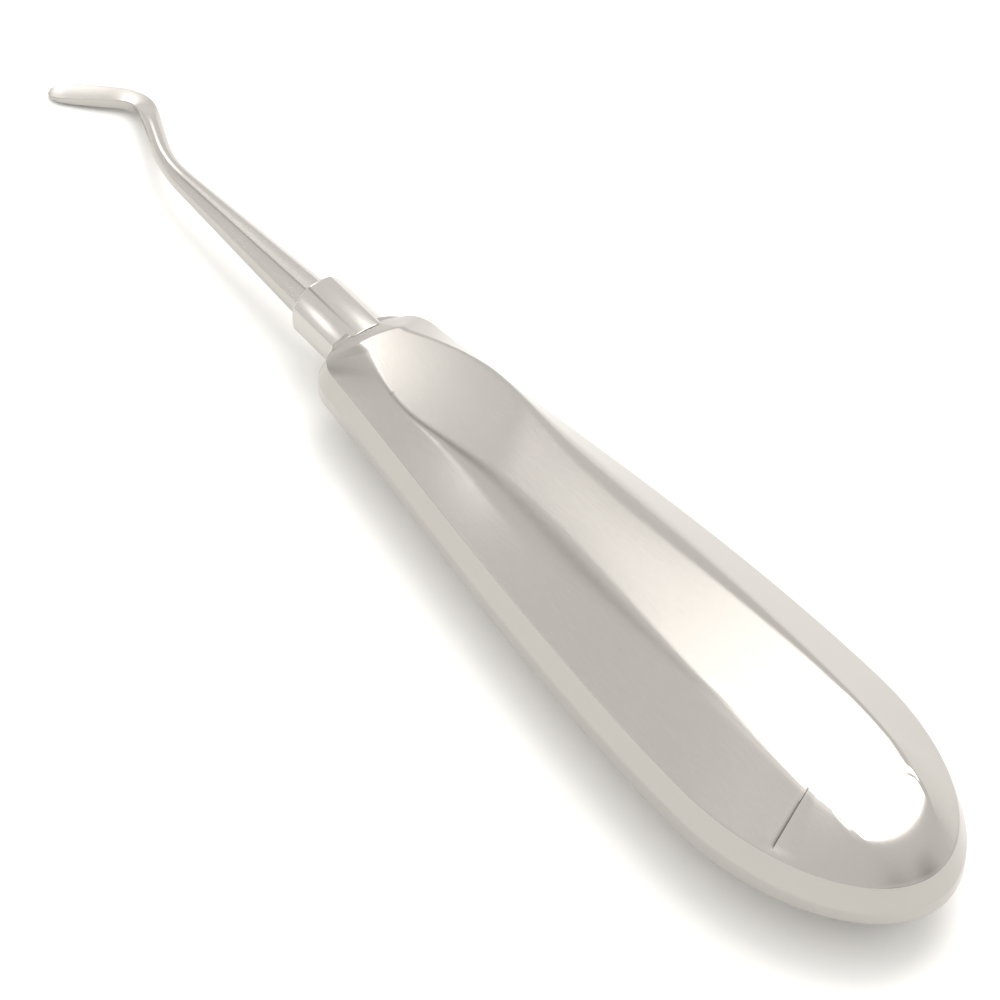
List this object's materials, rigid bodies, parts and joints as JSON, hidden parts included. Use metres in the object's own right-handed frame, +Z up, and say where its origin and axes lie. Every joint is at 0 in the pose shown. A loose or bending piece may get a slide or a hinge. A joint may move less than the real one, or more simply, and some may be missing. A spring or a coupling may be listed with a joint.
{
  "type": "dental elevator",
  "caption": "Dental root elevator: hollow faceted teardrop handle, octagonal collar, tapering shank and a thin blade cranked to one side.",
  "frame": {"origin": "centre of the bounding box in plan, on the surface the instrument lies on", "axes": "+X along the handle from the butt to the blade, +Z up with the handle lying on its lower long flat, +Y to the left of the handle seen from above with the blade away"},
  "size_m": [0.1458, 0.0248, 0.0156],
  "materials": {
    "satin_steel": "satin",
    "polished_steel": "fine satin",
    "plain_steel": "as machined"
  },
  "bodies": {
    "root": {"working_end": "polished_steel", "bolster_collar": "polished_steel", "handle_upper_shell": "satin_steel", "handle_lower_shell": "satin_steel", "tang_socket": "plain_steel", "socket_bulkhead": "plain_steel", "tang_pin": "plain_steel"}
  },
  "joints": []
}
